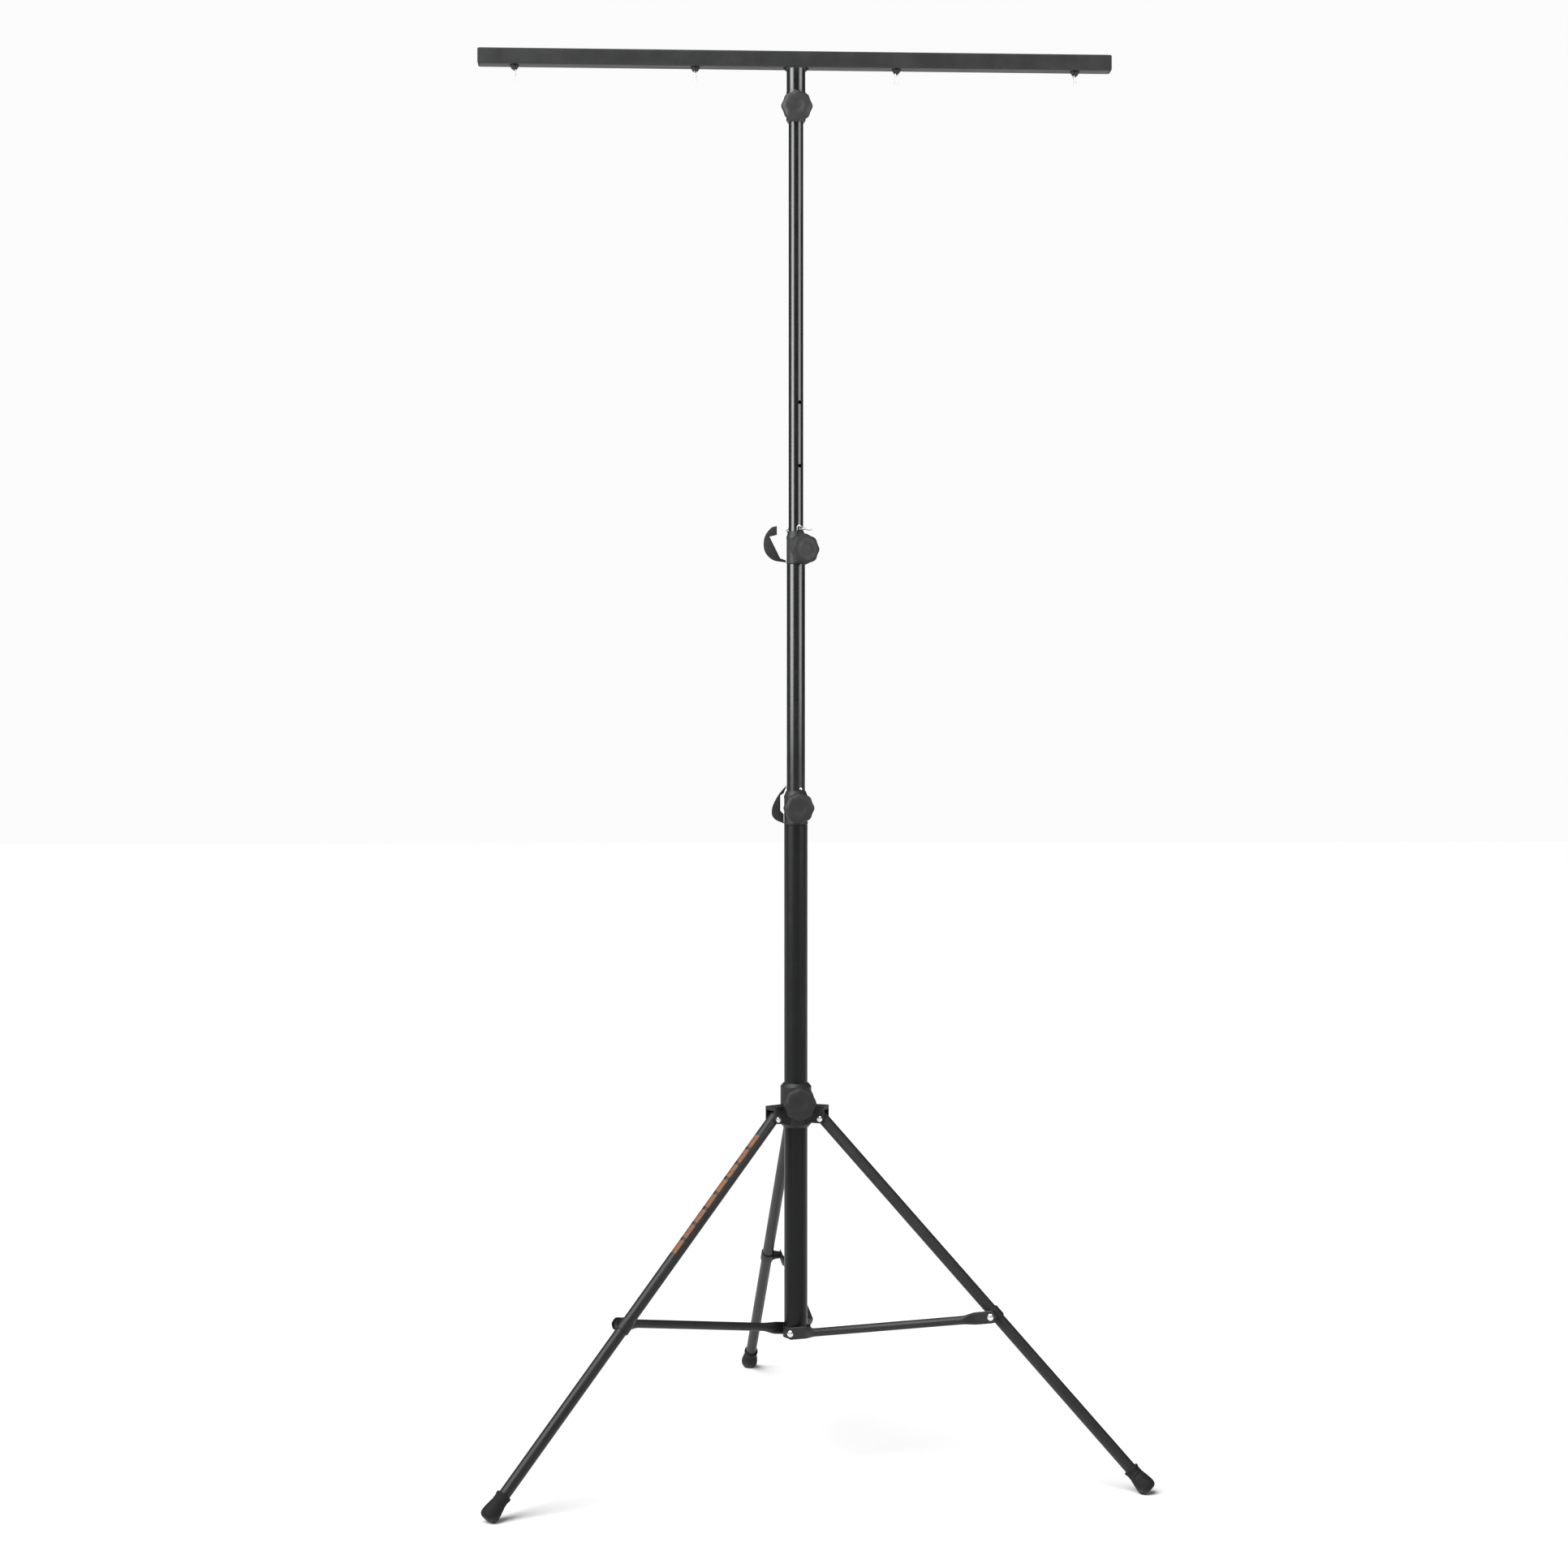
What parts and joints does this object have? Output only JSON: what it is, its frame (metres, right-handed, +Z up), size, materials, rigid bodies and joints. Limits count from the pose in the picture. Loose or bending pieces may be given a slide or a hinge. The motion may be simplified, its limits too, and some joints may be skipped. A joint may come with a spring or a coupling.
{
  "type": "lighting stand",
  "caption": "Telescoping tripod lighting stand with a cross bar: sliding hub, folding legs and braces, clamp knobs, locking pins and hanger bolts.",
  "frame": {"origin": "on the floor, under the middle of the whole object's box; the mast's axis stands at x = -0.0197, y = -0.1410", "axes": "+Z up the mast, +X along the cross bar, -Y the side that the knobs face"},
  "size_m": [1.2481, 1.1194, 2.6919],
  "materials": {
    "black_paint": "gloss",
    "brace_paint": "satin black paint",
    "black_casting": "satin black paint",
    "black_plastic": "matte",
    "rubber": "matte",
    "zinc": "bright zinc"
  },
  "bodies": {
    "mast": {"base_tube": "black_paint", "base_plug": "black_plastic", "lower_clamp": "black_casting", "lower_strap": "black_plastic", "brace_collar": "black_casting", "collar_pin_1": "zinc", "collar_pin_2": "zinc", "collar_pin_3": "zinc"},
    "hub": {"hub": "black_casting", "leg_pivot_1": "zinc", "leg_pivot_2": "zinc", "leg_pivot_3": "zinc"},
    "hub_knob": {"hub_knob": "black_plastic", "hub_knob_screw": "zinc"},
    "lower_knob": {"lower_knob": "black_plastic", "lower_knob_screw": "zinc"},
    "upper_knob": {"upper_knob": "black_plastic", "upper_knob_screw": "zinc"},
    "sleeve_knob": {"sleeve_knob": "black_plastic", "sleeve_knob_screw": "zinc"},
    "middle_section": {"middle_tube": "black_paint", "middle_glide": "black_plastic", "upper_clamp": "black_casting", "upper_strap": "black_plastic"},
    "top_section": {"top_tube": "black_paint", "top_glide": "black_plastic"},
    "t_bar": {"t_bar": "black_paint", "bar_cap_left": "black_plastic", "bar_cap_right": "black_plastic", "bar_sleeve": "black_paint", "hanger_bolt_1": "zinc", "hanger_bolt_2": "zinc", "hanger_bolt_3": "zinc", "hanger_bolt_4": "zinc"},
    "lower_pin": {"lower_pin_tip": "zinc", "lower_pin_shank": "zinc"},
    "upper_pin": {"upper_pin_tip": "zinc", "upper_pin_shank": "zinc"},
    "leg_1": {"leg_1": "black_paint", "foot_1": "rubber", "brace_bracket_1": "black_paint"},
    "brace_1": {"brace_1": "brace_paint", "brace_rivet_1": "zinc"},
    "leg_2": {"leg_2": "black_paint", "foot_2": "rubber", "brace_bracket_2": "black_paint"},
    "brace_2": {"brace_2": "brace_paint", "brace_rivet_2": "zinc"},
    "leg_3": {"leg_3": "black_paint", "foot_3": "rubber", "brace_bracket_3": "black_paint"},
    "brace_3": {"brace_3": "brace_paint", "brace_rivet_3": "zinc"},
    "wing_nut_1": {"wing_nut_1": "black_casting"},
    "wing_nut_2": {"wing_nut_2": "black_casting"},
    "wing_nut_3": {"wing_nut_3": "black_casting"},
    "wing_nut_4": {"wing_nut_4": "black_casting"}
  },
  "joints": [
    {"name": "hub_slide", "type": "slide", "parent": "mast", "child": "hub", "axis": [0, 0, 1], "range_m": [0, 0.4774]},
    {"name": "leg_1_fold", "type": "hinge", "parent": "hub", "child": "leg_1", "pos_m": [-0.0252, -0.08628, 0.655], "axis": [-0.995, -0.1, 0], "range_deg": [0, 44.65]},
    {"name": "brace_1_fold", "type": "hinge", "parent": "mast", "child": "brace_1", "pos_m": [-0.0197, -0.141, 0.2398], "axis": [0.995, 0.1, 0], "range_deg": [0, 72.86]},
    {"name": "leg_2_fold", "type": "hinge", "parent": "hub", "child": "leg_2", "pos_m": [-0.06434, -0.17313, 0.655], "axis": [0.5841, -0.8117, 0], "range_deg": [0, 44.65]},
    {"name": "brace_2_fold", "type": "hinge", "parent": "mast", "child": "brace_2", "pos_m": [-0.0197, -0.141, 0.2398], "axis": [-0.5841, 0.8117, 0], "range_deg": [0, 72.86]},
    {"name": "leg_3_fold", "type": "hinge", "parent": "hub", "child": "leg_3", "pos_m": [0.03044, -0.1636, 0.655], "axis": [0.4109, 0.9117, 0], "range_deg": [0, 44.65]},
    {"name": "brace_3_fold", "type": "hinge", "parent": "mast", "child": "brace_3", "pos_m": [-0.0197, -0.141, 0.2398], "axis": [-0.4109, -0.9117, 0], "range_deg": [0, 72.86]},
    {"name": "middle_slide", "type": "slide", "parent": "mast", "child": "middle_section", "axis": [0, 0, 1], "range_m": [-0.41, 0.35]},
    {"name": "top_slide", "type": "slide", "parent": "middle_section", "child": "top_section", "axis": [0, 0, 1], "range_m": [-0.755, 0.04]},
    {"name": "t_bar_swivel", "type": "hinge", "parent": "top_section", "child": "t_bar", "pos_m": [-0.0197, -0.141, 2.579], "axis": [0, 0, 1], "continuous": true},
    {"name": "hub_knob_turn", "type": "hinge", "parent": "hub", "child": "hub_knob", "pos_m": [-0.0197, -0.141, 0.686], "axis": [0.1, -0.995, 0], "range_deg": [0, 540]},
    {"name": "lower_knob_turn", "type": "hinge", "parent": "mast", "child": "lower_knob", "pos_m": [-0.0197, -0.141, 1.249], "axis": [0.1, -0.995, 0], "range_deg": [0, 540]},
    {"name": "upper_knob_turn", "type": "hinge", "parent": "middle_section", "child": "upper_knob", "pos_m": [-0.0197, -0.141, 1.742], "axis": [0.4067, -0.9135, 0], "range_deg": [0, 540]},
    {"name": "sleeve_knob_turn", "type": "hinge", "parent": "t_bar", "child": "sleeve_knob", "pos_m": [-0.0197, -0.141, 2.579], "axis": [0, -1, 0], "range_deg": [0, 540]},
    {"name": "lower_pin_pull", "type": "slide", "parent": "mast", "child": "lower_pin", "axis": [-0.4848, 0.8746, 0], "range_m": [0, 0.05]},
    {"name": "upper_pin_pull", "type": "slide", "parent": "middle_section", "child": "upper_pin", "axis": [-0.4848, 0.8746, 0], "range_m": [0, 0.05]},
    {"name": "wing_nut_1_turn", "type": "hinge", "parent": "t_bar", "child": "wing_nut_1", "pos_m": [-0.5547, -0.141, 2.6587], "axis": [0, 0, -1], "range_deg": [0, 720]},
    {"name": "wing_nut_2_turn", "type": "hinge", "parent": "t_bar", "child": "wing_nut_2", "pos_m": [-0.2117, -0.141, 2.6587], "axis": [0, 0, -1], "range_deg": [0, 720]},
    {"name": "wing_nut_3_turn", "type": "hinge", "parent": "t_bar", "child": "wing_nut_3", "pos_m": [0.1723, -0.141, 2.6587], "axis": [0, 0, -1], "range_deg": [0, 720]},
    {"name": "wing_nut_4_turn", "type": "hinge", "parent": "t_bar", "child": "wing_nut_4", "pos_m": [0.5153, -0.141, 2.6587], "axis": [0, 0, -1], "range_deg": [0, 720]}
  ],
  "couplings": [
    {"joint": "leg_1_fold", "follows": "hub_slide", "rad_per_m": 1.6321},
    {"joint": "brace_1_fold", "follows": "hub_slide", "rad_per_m": 2.6635},
    {"joint": "leg_2_fold", "follows": "hub_slide", "rad_per_m": 1.6321},
    {"joint": "brace_2_fold", "follows": "hub_slide", "rad_per_m": 2.6635},
    {"joint": "leg_3_fold", "follows": "hub_slide", "rad_per_m": 1.6321},
    {"joint": "brace_3_fold", "follows": "hub_slide", "rad_per_m": 2.6635}
  ]
}
